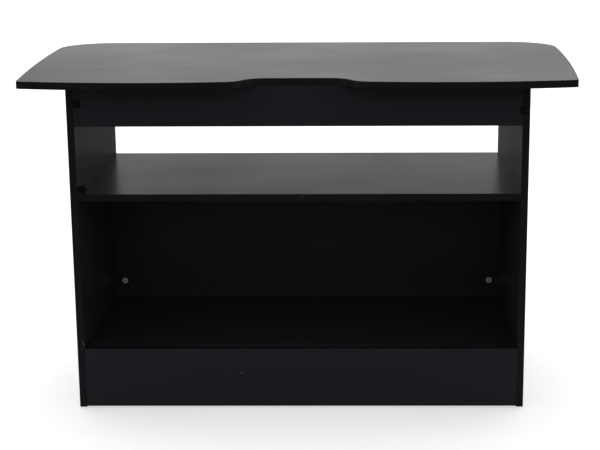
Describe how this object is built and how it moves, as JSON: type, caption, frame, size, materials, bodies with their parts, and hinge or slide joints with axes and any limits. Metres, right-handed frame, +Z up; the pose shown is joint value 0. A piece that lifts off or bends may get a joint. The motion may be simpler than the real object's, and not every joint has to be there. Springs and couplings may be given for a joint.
{
  "type": "computer desk",
  "caption": "Flat-pack computer desk with a curved, flared desktop, a cable recess, panel ends, an open shelf bay, an open lower bay and a plinth.",
  "frame": {"origin": "on the floor, below the middle of the desktop's outline", "axes": "+X along the desk, to the right seen from the side with the cable recess; +Y away from that side, towards the wide rounded edge; +Z up"},
  "size_m": [1.282, 0.782, 0.75],
  "materials": {
    "black_melamine": "melamine-faced particleboard, black, satin with a fine pore texture",
    "black_edging": "ABS edging strip, black, satin",
    "zinc_casting": "die-cast zinc, bright, slightly warm",
    "plated_steel": "zinc-plated steel",
    "beech_dowel": "plain beech",
    "black_plastic": "moulded plastic, black, matt"
  },
  "bodies": {
    "root": {"desktop": "black_melamine", "desktop_edging": "black_edging", "left_side_panel": "black_melamine", "right_side_panel": "black_melamine", "left_panel_edging": "black_edging", "right_panel_edging": "black_edging", "apron_rail": "black_melamine", "apron_edging": "black_edging", "fixed_shelf": "black_melamine", "shelf_edging": "black_edging", "modesty_panel": "black_melamine", "bottom_shelf": "black_melamine", "bottom_shelf_edging": "black_edging", "plinth_board": "black_melamine", "plinth_edging": "black_edging", "desktop_cam_locks": "zinc_casting", "desktop_cam_bolts": "plated_steel", "desktop_dowels": "beech_dowel", "apron_cam_locks": "zinc_casting", "apron_cam_bolts": "plated_steel", "apron_dowels": "beech_dowel", "shelf_cam_locks": "zinc_casting", "shelf_cam_bolts": "plated_steel", "shelf_dowels": "beech_dowel", "modesty_cam_locks": "zinc_casting", "modesty_cam_bolts": "plated_steel", "modesty_dowels": "beech_dowel", "bottom_shelf_cam_locks": "zinc_casting", "bottom_shelf_cam_bolts": "plated_steel", "bottom_shelf_dowels": "beech_dowel", "plinth_cam_locks": "zinc_casting", "plinth_cam_bolts": "plated_steel", "plinth_dowels": "beech_dowel", "left_floor_glides": "black_plastic", "right_floor_glides": "black_plastic", "glide_nails": "plated_steel", "joint_cover_caps": "black_plastic", "shelf_corner_stop": "black_plastic"}
  },
  "joints": []
}
